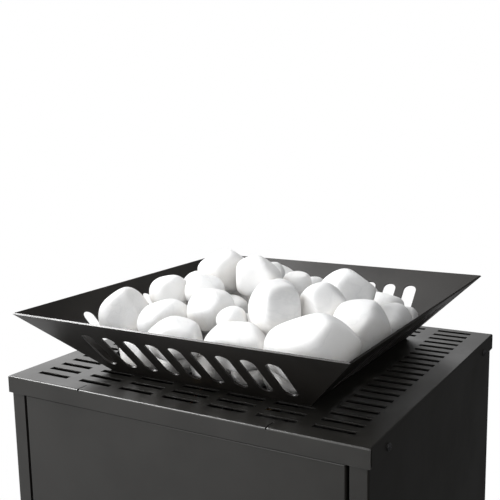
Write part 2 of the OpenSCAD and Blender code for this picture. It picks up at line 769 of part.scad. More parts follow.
upper_stones = [
  [-138, -102, 56, 30, 28, 0, 15], [-70, -114, 60, 28, 22, 20, 80], [-28, -150, 52, 32, 22, 0, 90],
  [50, -150, 54, 35, 24, 5, 90], [135, -142, 61, 45, 31, 15, 84], [68, -102, 81, 33, 26, 80, 12],
  [-16, -100, 76, 24, 22, 30, 60], [27, -122, 73, 16, 14, 0, 90], [108, -66, 86, 24, 22, 40, 50],
  [156, -76, 69, 30, 28, 60, 30], [-50, -12, 102, 30, 24, 20, 90], [4, -28, 102, 28, 23, -20, 80],
  [-106, -54, 78, 22, 20, 0, 90], [-49, -62, 88, 22, 18, 10, 90], [46, -52, 88, 20, 17, 60, 90],
  [100, 22, 82, 32, 25, 10, 90], [145, 50, 45, 26, 19, 80, 90], [118, 90, 52, 24, 18, 0, 90],
  [36, 14, 88, 17, 15, 70, 90], [-98, 8, 74, 26, 20, 70, 90], [-20, 40, 88, 24, 20, -30, 90],
  [60, 70, 68, 24, 19, 20, 90], [-66, 54, 80, 25, 20, 0, 80], [14, 90, 60, 25, 20, 50, 90]];
middle_stones = [
  [-149, 12, 50, 25, 20, 90, 90], [-140, 66, 50, 26, 22, 60, 90], [-100, 106, 60, 27, 23, 10, 90],
  [-46, 118, 64, 26, 22, 0, 90], [24, 141, 47, 22, 17, 0, 90], [72, 133, 53, 24, 17, 10, 90],
  [136, 117, 32, 18, 16, -40, 90], [145, -4, 43, 22, 17, 80, 90], [-70, -36, 58, 21, 18, 0, 90],
  [-58, 14, 62, 22, 18, 40, 90], [-12, 0, 66, 20, 16, 0, 90], [-18, -52, 63, 22, 17, 0, 90],
  [36, -26, 60, 22, 18, 30, 90], [74, -48, 60, 20, 17, 0, 90], [46, 22, 58, 21, 16, 70, 90],
  [-30, 68, 54, 22, 18, 0, 90], [-78, 66, 44, 21, 17, 60, 90], [22, -80, 50, 20, 18, 0, 90],
  [110, -96, 46, 20, 16, 0, 90]];
// The bottom layer rings the burner's opening, five stones to a side
lower_side = [-96, -48, 0, 48, 96];
lower_out = [4, -4, 0, -5, 3];          // how far each stands off the row
lower_stones = concat(
  [for (i = [0:4], s = [-1, 1])
    [lower_side[i], s * (122 + lower_out[i]), 22, 22, 19, i * 40, 90]],
  [for (i = [1:3], s = [-1, 1])
    [s * (113 + lower_out[i]), lower_side[i], 22, 22, 19, 60 + i * 40, 90]]);

module stone(s) {
  steps = 8;
  translate([s[0], s[1], lid_top + s[2]]) rotate([0, s[6], s[5]]) rotate_extrude()
    polygon([for (i = [0:steps])
      let (a = 180 * i / steps)
      [i == 0 || i == steps ? 0 : s[4] * sin(a), s[3] * cos(a)]]);
}
module stones_lower() { color("#f2f1ee") for (s = lower_stones) stone(s); }
module stones_middle() { color("#f2f1ee") for (s = middle_stones) stone(s); }
module stones_upper() { color("#f4f3f0") for (s = upper_stones) stone(s); }

base_plate();
left_side_panel();
right_side_panel();
back_panel();
front_top_rail();
heat_shield();
lid();
lid_screws();
lid_nuts();
back_rivets();
base_rivets();
feet();
hinge_bushes();
catch_housing();
catch_magnet();
catch_screws();
control_bracket();
bracket_screws();
gas_valve();
valve_nut();
gas_inlet();
gas_pipe();
injector_block();
injector();
burner_bracket();
mixing_tube();
burner_flange();
burner_screws();
burner_ring();
electrode_insulator();
electrode_tip();
thermocouple();
thermocouple_lead();
igniter_body();
igniter_nut();
igniter_lead();
door_panel();
hinge_pins();
hinge_gussets();
strike_plate();
flush_pull();
latch_housing();
latch_nut();
latch_core();
latch_cam();
stem_collar();
valve_stem();
control_knob();
igniter_button();
tray_floor();
tray_front_wall();
tray_back_wall();
tray_left_wall();
tray_right_wall();
stones_lower();
stones_middle();
stones_upper();
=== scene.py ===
import json
import math

import bmesh
import bpy
import numpy as np
from mathutils import Matrix, Vector


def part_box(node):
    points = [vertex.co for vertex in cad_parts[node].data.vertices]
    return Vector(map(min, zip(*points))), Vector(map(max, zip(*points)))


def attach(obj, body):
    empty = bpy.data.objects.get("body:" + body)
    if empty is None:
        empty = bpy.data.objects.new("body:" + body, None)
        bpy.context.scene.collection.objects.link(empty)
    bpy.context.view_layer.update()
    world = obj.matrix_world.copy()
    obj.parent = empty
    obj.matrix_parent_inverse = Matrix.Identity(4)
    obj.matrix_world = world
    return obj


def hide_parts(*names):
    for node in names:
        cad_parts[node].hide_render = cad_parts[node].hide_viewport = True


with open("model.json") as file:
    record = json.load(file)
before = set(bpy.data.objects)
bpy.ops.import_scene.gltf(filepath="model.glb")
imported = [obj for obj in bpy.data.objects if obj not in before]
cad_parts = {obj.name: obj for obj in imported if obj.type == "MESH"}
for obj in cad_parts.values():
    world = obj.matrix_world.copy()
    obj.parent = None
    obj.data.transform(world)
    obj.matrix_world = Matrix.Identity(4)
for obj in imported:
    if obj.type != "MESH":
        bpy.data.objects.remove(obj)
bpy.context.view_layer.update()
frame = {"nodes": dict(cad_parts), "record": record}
nodes = frame["nodes"]
bodyOf = {n: b for b, names in frame["record"]["behaviour"]["bodies"].items() for n in names}
slotOf = {p["node"]: p["material_slot"] for p in frame["record"]["subparts"]}
lidLow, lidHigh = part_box("lid")
lidTop = lidHigh.z
print("frame loaded:", len(nodes), "nodes")


def addNode(tree, kind, **settings):    # a shader node, with its menus and switches set
    node = tree.nodes.new("ShaderNode" + kind)
    for key, value in settings.items():
        setattr(node, key, value)
    return node


def setSocket(tree, socket, value):     # the value is another node's output, a number or a colour
    if isinstance(value, bpy.types.NodeSocket):
        tree.links.new(value, socket)
    else:
        socket.default_value = value


def feed(tree, node, **values):         # the same, for several inputs by name
    for key, value in values.items():
        setSocket(tree, node.inputs[key.replace("_", " ")], value)


def newGroup(name, inputs, outputs):    # inputs: name to number; outputs: name to kind of socket
    group = bpy.data.node_groups.new(name, "ShaderNodeTree")
    for key, value in inputs.items():
        socket = group.interface.new_socket(key, in_out="INPUT", socket_type="NodeSocketFloat")
        socket.default_value = value
    for key, kind in outputs.items():
        group.interface.new_socket(key, in_out="OUTPUT", socket_type="NodeSocket" + kind)
    return group, group.nodes.new("NodeGroupInput").outputs, group.nodes.new("NodeGroupOutput").inputs


def noiseOf(tree, vector, scale, detail=2.0, roughness=0.5):       # a cloudy value about a half
    node = addNode(tree, "TexNoise")
    feed(tree, node, Vector=vector, Scale=scale, Detail=detail, Roughness=roughness)
    return node.outputs["Fac"]


def ramped(tree, value, low, high, toLow, toHigh):      # a smooth step, from one pair of ends to another
    node = addNode(tree, "MapRange", interpolation_type="SMOOTHSTEP")
    feed(tree, node, Value=value, From_Min=low, From_Max=high, To_Min=toLow, To_Max=toHigh)
    return node.outputs["Result"]


def mathOf(tree, operation, first, second=0.0):
    node = addNode(tree, "Math", operation=operation)
    for socket, value in zip(node.inputs, (first, second)):
        setSocket(tree, socket, value)
    return node.outputs[0]


def mixed(tree, mask, first, second):   # a colour between two, by a mask
    node = addNode(tree, "Mix", data_type="RGBA")
    for socket, value in ((node.inputs[0], mask), (node.inputs[6], first), (node.inputs[7], second)):
        setSocket(tree, socket, value)
    return node.outputs[2]


def bumped(tree, height, distance):     # a normal that follows a height, with the distance in metres
    node = addNode(tree, "Bump")
    feed(tree, node, Height=height, Distance=distance, Strength=1.0)
    return node.outputs["Normal"]

cameraLook = {
    "lens": 58.3,                       # mm
    "sensor": 36,                       # mm wide
    "fromLid": (0.481, -0.848, 0.292),  # metres, from the middle of the lid's top
    "turn": 30.64,                      # degrees to the left of straight ahead
    "dip": 9.39,
    "roll": -1.1,
}


def makeCamera():
    turn, dip, roll = (math.radians(cameraLook[k]) for k in ("turn", "dip", "roll"))
    ahead = Vector((-math.sin(turn) * math.cos(dip), math.cos(turn) * math.cos(dip), -math.sin(dip)))
    right = Vector((math.cos(turn), math.sin(turn), 0))
    up = right.cross(ahead)
    rolledRight = math.cos(roll) * right + math.sin(roll) * up
    rolledUp = -math.sin(roll) * right + math.cos(roll) * up
    data = bpy.data.cameras.new("camera")
    data.lens = cameraLook["lens"]
    data.sensor_width = cameraLook["sensor"]
    camera = bpy.data.objects.new("camera", data)
    place = Vector((0, 0, lidTop)) + Vector(cameraLook["fromLid"])
    turned = Matrix((rolledRight, rolledUp, -ahead)).transposed()
    camera.matrix_world = Matrix.Translation(place) @ turned.to_4x4()
    bpy.context.scene.collection.objects.link(camera)
    bpy.context.scene.camera = camera

studio = {
    "background": 1.0,                  # how bright the empty background is
    "rightFill": 0.05,                  # soft light from the right, as from a dark wall
    "leftFill": 1.08,                   # and from the left, as from a white one
    "lowFill": 0.80,                    # the share of both below the horizon
    "backFill": 2.0,                    # how many times stronger both are behind the object
    "wallFrom": (0.10, -0.62),          # where the dark wall gives way to the white one, from right to left
    "lowFrom": (-0.30, 0.02),           # where the share below gives way to the full light, going up
    "backFrom": (0.1, 0.7),             # and where the light grows, from front to back
    "floorColour": (0.86, 0.86, 0.86),
    "floorGlow": 0.10,
    "floorRough": 0.9,
    "floorSpecular": 0.1,
    "floorSize": 14.0,                  # metres along each side
    "floorFade": (0.45, 0.95),          # metres from the middle, where the paper runs out into the background
}
softboxes = {                           # place, what it faces, width, height, watts, shows in: diffuse, gloss
    "keyLight": ((-1.7, -0.9, 2.2), (0, 0, 0.72), 1.3, 1.0, 44, True, True),
    "foldLight": ((-1.5, -0.95, 2.3), (0, 0, 0.72), 0.9, 0.7, 60, False, True),
    "topLight": ((-0.2, 0.3, 2.6), (0, 0, 0.7), 1.8, 1.8, 12, True, False),
    "rightLight": ((1.6, -1.6, 1.9), (0, 0, 0.72), 1.8, 1.4, 18, True, False),
    "frontLight": ((-0.7, -2.9, 0.9), (0, 0, 0.5), 2.0, 1.4, 26, True, True),
}


def makeWorld():
    # Only the camera sees the plain background. The object is lit by two soft walls, bright on the left
    # and dark on the right
    world = bpy.data.worlds.new("studio")
    bpy.context.scene.world = world
    world.use_nodes = True
    tree = world.node_tree
    tree.nodes.clear()
    split = addNode(tree, "SeparateXYZ")
    tree.links.new(addNode(tree, "TexCoord").outputs["Generated"], split.inputs[0])
    wall = ramped(tree, split.outputs["X"], *studio["wallFrom"], studio["rightFill"], studio["leftFill"])
    level = ramped(tree, split.outputs["Z"], *studio["lowFrom"], studio["lowFill"], 1.0)
    behind = ramped(tree, split.outputs["Y"], *studio["backFrom"], 1.0, studio["backFill"])
    glow = mathOf(tree, "MULTIPLY", mathOf(tree, "MULTIPLY", wall, level), behind)
    soft = addNode(tree, "Background")
    tree.links.new(glow, soft.inputs["Strength"])
    plain = addNode(tree, "Background")
    feed(tree, plain, Color=(1, 1, 1, 1), Strength=studio["background"])
    mix = addNode(tree, "MixShader")
    tree.links.new(addNode(tree, "LightPath").outputs["Is Camera Ray"], mix.inputs["Fac"])
    tree.links.new(soft.outputs[0], mix.inputs[1])
    tree.links.new(plain.outputs[0], mix.inputs[2])
    tree.links.new(mix.outputs[0], addNode(tree, "OutputWorld").inputs["Surface"])
    bpy.context.scene.view_settings.view_transform = "Standard"


def makeLights():
    for name, (place, target, width, height, watts, inDiffuse, inGloss) in softboxes.items():
        data = bpy.data.lights.new(name, "AREA")
        data.shape = "RECTANGLE"
        data.size, data.size_y, data.energy = width, height, watts
        light = bpy.data.objects.new(name, data)
        light.location = place
        light.visible_diffuse = inDiffuse
        light.visible_glossy = inGloss
        light.rotation_euler = (Vector(target) - Vector(place)).to_track_quat("-Z", "Y").to_euler()
        bpy.context.scene.collection.objects.link(light)


def makeFloor():
    # Pale paper that takes the contact shadow and fades out into the background; only the camera sees it
    half = studio["floorSize"] / 2
    mesh = bpy.data.meshes.new("floor")
    corners = [(-half, -half, 0), (half, -half, 0), (half, half, 0), (-half, half, 0)]
    mesh.from_pydata(corners, [], [(0, 1, 2, 3)])
    floor = bpy.data.objects.new("floor", mesh)
    bpy.context.scene.collection.objects.link(floor)
    paper = bpy.data.materials.new("floorPaper")
    paper.use_nodes = True
    tree = paper.node_tree
    shader = tree.nodes["Principled BSDF"]
    feed(tree, shader, Base_Color=(*studio["floorColour"], 1), Roughness=studio["floorRough"],
         Specular_IOR_Level=studio["floorSpecular"], Emission_Color=(1, 1, 1, 1),
         Emission_Strength=studio["floorGlow"])
    away = addNode(tree, "VectorMath", operation="LENGTH")
    tree.links.new(addNode(tree, "TexCoord").outputs["Object"], away.inputs[0])
    glow = addNode(tree, "Emission")
    feed(tree, glow, Color=(1, 1, 1, 1), Strength=studio["background"])
    faded = addNode(tree, "MixShader")
    seen = addNode(tree, "MixShader")
    tree.links.new(ramped(tree, away.outputs["Value"], *studio["floorFade"], 0.0, 1.0), faded.inputs["Fac"])
    tree.links.new(shader.outputs[0], faded.inputs[1])
    tree.links.new(glow.outputs[0], faded.inputs[2])
    tree.links.new(addNode(tree, "LightPath").outputs["Is Camera Ray"], seen.inputs["Fac"])
    tree.links.new(addNode(tree, "BsdfTransparent").outputs[0], seen.inputs[1])
    tree.links.new(faded.outputs[0], seen.inputs[2])
    tree.links.new(seen.outputs[0], tree.nodes["Material Output"].inputs["Surface"])
    mesh.materials.append(paper)


makeCamera()
makeWorld()
makeLights()
makeFloor()
print("camera, lights and floor made")

effectLook = {                          # what stays the same wherever an effect is used
    "coat": {"flowScale": 160.0, "fineShare": 0.55, "cloudScale": 9.0, "clouds": (0.3, 0.7)},
    "wearAndHighlight": {"samples": 4, "edge": (0.985, 0.80), "chipScale": 120.0, "chips": (0.40, 0.66), "least": 0.25},
    "brush": {"cloudScale": 40.0, "share": 0.5, "clouds": (0.35, 0.65)},
    "dust": {"samples": 8, "shut": (0.95, 0.35), "mottleScale": 60.0, "mottle": (0.3, 0.75), "least": 0.3},
    "mould": {"cloudScale": 30.0, "clouds": (0.3, 0.7)},
}


def objectPlace(tree):
    return addNode(tree, "TexCoord").outputs["Object"]


def coatGroup():
    # Powder coat: fine orange peel, a broader flow of the film, and clouds of duller and brighter satin
    look = effectLook["coat"]
    tree, given, out = newGroup("powderCoat",
                                {"Grain": 900.0, "Depth": 0.00004, "Dull": 0.50, "Bright": 0.38},
                                {"Roughness": "Float", "Tone": "Float", "Normal": "Vector"})
    at = objectPlace(tree)
    fine = noiseOf(tree, at, given["Grain"], 2.0, 0.6)
    flow = noiseOf(tree, at, look["flowScale"])
    clouds = noiseOf(tree, at, look["cloudScale"], 4.0, 0.6)
    height = mathOf(tree, "ADD", mathOf(tree, "MULTIPLY", fine, look["fineShare"]), flow)
    tree.links.new(bumped(tree, height, given["Depth"]), out["Normal"])
    tree.links.new(ramped(tree, clouds, *look["clouds"], given["Bright"], given["Dull"]), out["Roughness"])
    tree.links.new(clouds, out["Tone"])
    return tree


def wearAndHighlightGroup():
    # Edge wear that is also a painted highlight: where the rounded normal leaves the true one, broken up by
    # noise
    look = effectLook["wearAndHighlight"]
    tree, given, out = newGroup("edgeWearAndHighlight", {"Width": 0.0012, "Amount": 0.5}, {"Mask": "Float"})
    bevel = addNode(tree, "Bevel", samples=look["samples"])
    tree.links.new(given["Width"], bevel.inputs["Radius"])
    dot = addNode(tree, "VectorMath", operation="DOT_PRODUCT")
    tree.links.new(bevel.outputs["Normal"], dot.inputs[0])
    tree.links.new(addNode(tree, "NewGeometry").outputs["Normal"], dot.inputs[1])
    edge = ramped(tree, dot.outputs["Value"], *look["edge"], 0.0, 1.0)
    chips = noiseOf(tree, objectPlace(tree), look["chipScale"], 4.0, 0.7)
    broken = ramped(tree, chips, *look["chips"], look["least"], 1.0)
    mask = mathOf(tree, "MULTIPLY", mathOf(tree, "MULTIPLY", edge, broken), given["Amount"])
    tree.links.new(mask, out["Mask"])
    return tree


def brushGroup():
    # Brushed or drawn metal: grain pulled out along one way, and a slow change of sheen
    look = effectLook["brush"]
    tree, given, out = newGroup("brushedGrain", {"Across": 900.0, "Along": 25.0, "Depth": 0.00002,
                                                 "Dull": 0.42, "Bright": 0.24},
                                {"Roughness": "Float", "Tone": "Float", "Normal": "Vector"})
    at = objectPlace(tree)
    pull = addNode(tree, "CombineXYZ")
    feed(tree, pull, X=given["Across"], Y=given["Across"], Z=given["Along"])
    scaled = addNode(tree, "VectorMath", operation="MULTIPLY")
    tree.links.new(at, scaled.inputs[0])
    tree.links.new(pull.outputs[0], scaled.inputs[1])
    lines = noiseOf(tree, scaled.outputs[0], 1.0)
    clouds = noiseOf(tree, at, look["cloudScale"], 3.0)
    sheen = mathOf(tree, "ADD", mathOf(tree, "MULTIPLY", lines, look["share"]),
                   mathOf(tree, "MULTIPLY", clouds, look["share"]))
    tree.links.new(bumped(tree, lines, given["Depth"]), out["Normal"])
    tree.links.new(ramped(tree, sheen, *look["clouds"], given["Bright"], given["Dull"]), out["Roughness"])
    tree.links.new(lines, out["Tone"])
    return tree


def dustAndGapShadeGroup():
    # Dust and grime, and on the stones painted shade: thicker where little light gets in, and mottled
    look = effectLook["dust"]
    tree, given, out = newGroup("settledDustAndGapShade", {"Reach": 0.012, "Amount": 0.4}, {"Mask": "Float"})
    shut = addNode(tree, "AmbientOcclusion", samples=look["samples"])
    tree.links.new(given["Reach"], shut.inputs["Distance"])
    inside = ramped(tree, shut.outputs["AO"], *look["shut"], 0.0, 1.0)
    blotches = noiseOf(tree, objectPlace(tree), look["mottleScale"], 4.0, 0.65)
    mottle = ramped(tree, blotches, *look["mottle"], look["least"], 1.0)
    mask = mathOf(tree, "MULTIPLY", mathOf(tree, "MULTIPLY", inside, mottle), given["Amount"])
    tree.links.new(mask, out["Mask"])
    return tree


def mouldGroup():
    # Moulded plastic or rubber: a spark-eroded grain of rounded cells
    look = effectLook["mould"]
    tree, given, out = newGroup("mouldedGrain",
                                {"Cells": 1400.0, "Depth": 0.00005, "Dull": 0.62, "Bright": 0.48},
                                {"Roughness": "Float", "Tone": "Float", "Normal": "Vector"})
    at = objectPlace(tree)
    cells = addNode(tree, "TexVoronoi", feature="SMOOTH_F1")
    feed(tree, cells, Vector=at, Scale=given["Cells"])
    clouds = noiseOf(tree, at, look["cloudScale"], 3.0)
    tree.links.new(bumped(tree, cells.outputs["Distance"], given["Depth"]), out["Normal"])
    tree.links.new(ramped(tree, clouds, *look["clouds"], given["Bright"], given["Dull"]), out["Roughness"])
    tree.links.new(clouds, out["Tone"])
    return tree


groups = {
    "coat": coatGroup(),
    "wearAndHighlight": wearAndHighlightGroup(),
    "brush": brushGroup(),
    "dust": dustAndGapShadeGroup(),
    "mould": mouldGroup(),
}


def placed(tree, group, **values):      # a shared effect in a material, with that material's own values
    node = tree.nodes.new("ShaderNodeGroup")
    node.node_tree = groups[group]
    for key, value in values.items():
        node.inputs[key].default_value = value
    return node.outputs


def startMaterial(name):
    material = bpy.data.materials.new(name)
    material.use_nodes = True
    return material, material.node_tree, material.node_tree.nodes["Principled BSDF"]


def toned(tree, tone, spread, look):    # a colour between the look's dark and light ones
    share = ramped(tree, tone, *spread, 0.0, 1.0)
    return mixed(tree, share, (*look["dark"], 1), (*look["light"], 1))


def paintMaterial(name, look):
    # Powder coat or paint: two close tones, worn brighter at edges, where the pale colour is also a painted
    # highlight along the bends, and dusty in corners
    material, tree, shader = startMaterial(name)
    coat = placed(tree, "coat", Grain=look["grain"], Depth=look["depth"], Dull=look["dull"],
                  Bright=look["bright"])
    wearAndHighlight = placed(tree, "wearAndHighlight", Width=look["wearAndHighlightWidth"], Amount=look["wearAndHighlight"])
    dust = placed(tree, "dust", Amount=look["dust"])
    colour = toned(tree, coat["Tone"], paintTone, look)
    # painted highlight: the pale worn colour along edges and bends stands in for light caught on the folds,
    # as well as for wear
    colour = mixed(tree, wearAndHighlight["Mask"], colour, (*look["worn"], 1))
    colour = mixed(tree, dust["Mask"], colour, (*look["dustColour"], 1))
    feed(tree, shader, Base_Color=colour, Roughness=coat["Roughness"], Normal=coat["Normal"],
         Specular_IOR_Level=look["specular"])
    return material


def metalMaterial(name, look):
    # Bare or plated metal: brushed grain, and tarnish that gathers in corners
    material, tree, shader = startMaterial(name)
    grain = placed(tree, "brush", Across=look["across"], Along=look["along"], Depth=look["depth"],
                   Dull=look["dull"], Bright=look["bright"])
    dust = placed(tree, "dust", Reach=look["tarnishReach"], Amount=look["tarnish"])
    colour = toned(tree, grain["Tone"], grainTone, look)
    colour = mixed(tree, dust["Mask"], colour, (*look["tarnishColour"], 1))
    feed(tree, shader, Base_Color=colour, Roughness=grain["Roughness"], Normal=grain["Normal"], Metallic=1.0)
    return material


def mouldedMaterial(name, look):
    # Plastic, rubber, nylon or ceramic: a moulded grain with dust in its corners
    material, tree, shader = startMaterial(name)
    grain = placed(tree, "mould", Cells=look["cells"], Depth=look["depth"], Dull=look["dull"],
                   Bright=look["bright"])
    dust = placed(tree, "dust", Reach=look["dustReach"], Amount=look["dust"])
    colour = toned(tree, grain["Tone"], grainTone, look)
    colour = mixed(tree, dust["Mask"], colour, (*look["dustColour"], 1))
    feed(tree, shader, Base_Color=colour, Roughness=grain["Roughness"], Normal=grain["Normal"])
    return material


def stoneMaterial(name, look):
    # Tumbled white marble: sugary grain, faint grey clouds and veins, and painted warm shade in the deep gaps
    material, tree, shader = startMaterial(name)
    at = objectPlace(tree)
    clouds = noiseOf(tree, at, look["cloudScale"], 4.0, 0.6)
    bent = addNode(tree, "TexNoise")
    feed(tree, bent, Vector=at, Scale=look["veinScale"], Detail=5.0, Roughness=0.6,
         Distortion=look["veinBend"])
    off = mathOf(tree, "ABSOLUTE", mathOf(tree, "SUBTRACT", bent.outputs["Fac"], 0.5))
    vein = ramped(tree, off, 0.0, look["veinWidth"], look["veins"], 0.0)
    # painted shade: a warm darker colour where little light reaches between the pebbles
    dust = placed(tree, "dust", Reach=look["gapShadeReach"], Amount=look["gapShadeAmount"])
    share = ramped(tree, clouds, *paintTone, 0.0, 1.0)
    colour = mixed(tree, share, (*look["grey"], 1), (*look["white"], 1))
    colour = mixed(tree, vein, colour, (*look["veinColour"], 1))
    colour = mixed(tree, dust["Mask"], colour, (*look["gapShadeColour"], 1))
    sugar = noiseOf(tree, at, look["sugarScale"], 3.0, 0.7)
    dents = noiseOf(tree, at, look["dentScale"], 3.0)
    height = mathOf(tree, "ADD", mathOf(tree, "MULTIPLY", sugar, look["sugar"]), dents)
    rough = ramped(tree, clouds, *grainTone, look["bright"], look["dull"])
    feed(tree, shader, Base_Color=colour, Roughness=rough, Normal=bumped(tree, height, look["depth"]),
         Specular_IOR_Level=look["specular"])
    return material


paintTone = (0.35, 0.65)                # the part of a noise that spans the dark and the light tone
grainTone = (0.3, 0.7)
blackPaint = {
    "grain": 900.0, "depth": 0.00003, "dull": 0.40, "bright": 0.30, "specular": 0.5,
    "dark": (0.0160, 0.0152, 0.0135), "light": (0.0210, 0.0200, 0.0178),
    # the worn colour is a painted highlight along edges and bends, as well as wear
    "wearAndHighlightWidth": 0.0008, "wearAndHighlight": 0.25, "worn": (0.20, 0.20, 0.205),
    "dust": 0.12, "dustColour": (0.05, 0.047, 0.043),
}
trayPaint = dict(blackPaint, dark=(0.0135, 0.012, 0.0105), light=(0.018, 0.016, 0.014),
                 bright=0.36, dull=0.46, dustColour=(0.07, 0.064, 0.056))
screwPaint = dict(blackPaint, dark=(0.03, 0.03, 0.031), light=(0.045, 0.045, 0.047), bright=0.30, dull=0.42,
                  wearAndHighlight=0.6, worn=(0.25, 0.25, 0.26), depth=0.00001)
lockPaint = dict(screwPaint, dark=(0.05, 0.05, 0.054), light=(0.07, 0.07, 0.075), wearAndHighlight=0.5)
steelLook = {
    "across": 900.0, "along": 30.0, "depth": 0.00001, "dull": 0.40, "bright": 0.24,
    "dark": (0.46, 0.46, 0.47), "light": (0.58, 0.58, 0.59),
    "tarnish": 0.4, "tarnishReach": 0.006, "tarnishColour": (0.20, 0.18, 0.16),
}
metalLooks = {
    "zinc": dict(steelLook, bright=0.20, dull=0.34, dark=(0.52, 0.53, 0.56), light=(0.66, 0.67, 0.70)),
    "stainless": steelLook,
    "magnet": dict(steelLook, dark=(0.13, 0.13, 0.135), light=(0.20, 0.20, 0.21), dull=0.6, bright=0.45),
    "brass": dict(steelLook, dark=(0.55, 0.39, 0.17), light=(0.70, 0.52, 0.25),
                  tarnishColour=(0.18, 0.11, 0.04)),
    "pipe_aluminium": dict(steelLook, dark=(0.58, 0.59, 0.61), light=(0.68, 0.69, 0.71), dull=0.36),
    "copper": dict(steelLook, dark=(0.56, 0.30, 0.18), light=(0.70, 0.42, 0.29),
                   tarnishColour=(0.14, 0.06, 0.03)),
    "lock_core": dict(steelLook, dark=(0.34, 0.35, 0.36), light=(0.46, 0.47, 0.48)),
}
blackPlastic = {
    "cells": 1400.0, "depth": 0.00005, "dull": 0.58, "bright": 0.44,
    "dark": (0.018, 0.018, 0.019), "light": (0.026, 0.026, 0.028),
    "dust": 0.2, "dustReach": 0.005, "dustColour": (0.06, 0.056, 0.05),
}
mouldedLooks = {
    "black_plastic": blackPlastic,
    "foot_rubber": dict(blackPlastic, cells=700.0, depth=0.0001, dull=0.85, bright=0.72, dust=0.5),
    "nylon": dict(blackPlastic, cells=500.0, dark=(0.62, 0.60, 0.54), light=(0.72, 0.70, 0.64), dull=0.5,
                  bright=0.38, dustColour=(0.30, 0.27, 0.22)),
    "insulator": dict(blackPlastic, cells=900.0, depth=0.00002, dark=(0.74, 0.71, 0.64),
                      light=(0.84, 0.81, 0.75), dull=0.40, bright=0.25, dustColour=(0.28, 0.22, 0.16)),
    "red_plastic": dict(blackPlastic, cells=400.0, depth=0.00001, dark=(0.36, 0.035, 0.022),
                        light=(0.44, 0.05, 0.03), dull=0.34, bright=0.22, dustColour=(0.12, 0.03, 0.02)),
}
stoneLook = {
    "white": (0.90, 0.90, 0.895), "grey": (0.83, 0.835, 0.84), "cloudScale": 22.0,
    "veinColour": (0.66, 0.67, 0.68), "veinScale": 9.0, "veinBend": 1.2, "veinWidth": 0.022, "veins": 0.22,
    # the gap colour is painted shade, warm and darker where little light gets in
    "gapShadeColour": (0.72, 0.66, 0.58), "gapShadeReach": 0.03, "gapShadeAmount": 0.35,
    "sugarScale": 1300.0, "sugar": 0.18, "dentScale": 70.0, "depth": 0.0006,
    "dull": 0.62, "bright": 0.48, "specular": 0.35,
}

materials = {
    "black_coat": paintMaterial("black_coat", blackPaint),
    "tray_coat": paintMaterial("tray_coat", trayPaint),
    "dark_screws": paintMaterial("dark_screws", screwPaint),
    "lock_body": paintMaterial("lock_body", lockPaint),
    "white_stone": stoneMaterial("white_stone", stoneLook),
}
for slot, look in metalLooks.items():
    materials[slot] = metalMaterial(slot, look)
for slot, look in mouldedLooks.items():
    materials[slot] = mouldedMaterial(slot, look)
print("materials made:", len(materials))


def cornerArray(mesh):                  # a mesh's corner places, as rows of x, y, z
    places = np.zeros(len(mesh.vertices) * 3)
    mesh.vertices.foreach_get("co", places)
    return places.reshape(-1, 3)


def addPiece(name, mesh, node):         # a finished piece that stands in for a node
    piece = bpy.data.objects.new(name, mesh)
    bpy.context.scene.collection.objects.link(piece)
    mesh.materials.append(materials[slotOf[node]])
    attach(piece, bodyOf[node])
    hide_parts(node)
    return piece

roundingLook = {
    "joinWithin": 2e-6,                 # metres, for corners of loose triangles
    "flatWithin": 0.5,                  # degrees, for triangles that merge into one flat face
    "sharpFrom": 32,                    # degrees, for edges that get the cut radius
    "foldTurns": 4,                     # flat strips across a fold
    "cutTurns": 3,                      # and across a sheet's cut edge
    "smallTurns": 2,                    # and across the edges of the other hard parts
    "flatWeight": 100,                  # how strongly the broad faces keep their shading flat
}


def joinedCopy(node):
    # The node's loose triangles, joined at their corners and merged into flat faces
    work = bmesh.new()
    work.from_mesh(nodes[node].data)
    bmesh.ops.remove_doubles(work, verts=work.verts, dist=roundingLook["joinWithin"])
    bmesh.ops.dissolve_limit(work, angle_limit=math.radians(roundingLook["flatWithin"]),
                             verts=work.verts, edges=work.edges)
    mesh = bpy.data.meshes.new(node + "_rounded")
    work.to_mesh(mesh)
    work.free()
    mesh.materials.clear()
    return mesh


def roundedPiece(node, cut, turns, fold=0.0, isFold=None):
    # The node with its sharp edges rounded: by the fold radius along its bends, and by the cut radius
    # elsewhere
    look = roundingLook
    mesh = joinedCopy(node)
    mesh.shade_smooth()
    piece = addPiece(node + "_piece", mesh, node)
    if isFold is not None:
        ends = np.zeros(len(mesh.edges) * 2, int)
        mesh.edges.foreach_get("vertices", ends)
        places = cornerArray(mesh)
        first, second = places[ends[0::2]], places[ends[1::2]]
        weights = mesh.attributes.new("bevel_weight_edge", "FLOAT", "EDGE")
        weights.data.foreach_set("value", isFold(first, second).astype(np.float32))
        bend = piece.modifiers.new("bend", "BEVEL")
        bend.limit_method = "WEIGHT"
        bend.width = fold
        bend.segments = look["foldTurns"]
        bend.use_clamp_overlap = False
    edge = piece.modifiers.new("edge", "BEVEL")
    edge.limit_method = "ANGLE"
    edge.angle_limit = math.radians(look["sharpFrom"])
    edge.width = cut
    edge.segments = turns
    edge.use_clamp_overlap = True
    flat = piece.modifiers.new("flat", "WEIGHTED_NORMAL")
    flat.mode = "FACE_AREA"
    flat.weight = look["flatWeight"]

onPlane = 1e-5                          # metres


def along(first, second, **sides):
    # True for an edge that lies on each named plane, such as x=0.2
    keep = np.ones(len(first), bool)
    for axis, value in sides.items():
        column = "xyz".index(axis)
        for ends in (first, second):
            keep &= np.abs(ends[:, column] - value) < onPlane
    return keep


def lidFolds(first, second):
    low, high = lidLow, lidHigh
    keep = np.zeros(len(first), bool)
    for x in (low.x, high.x):
        keep |= along(first, second, x=x, z=high.z)
    for y in (low.y, high.y):
        keep |= along(first, second, y=y, z=high.z)
    return keep


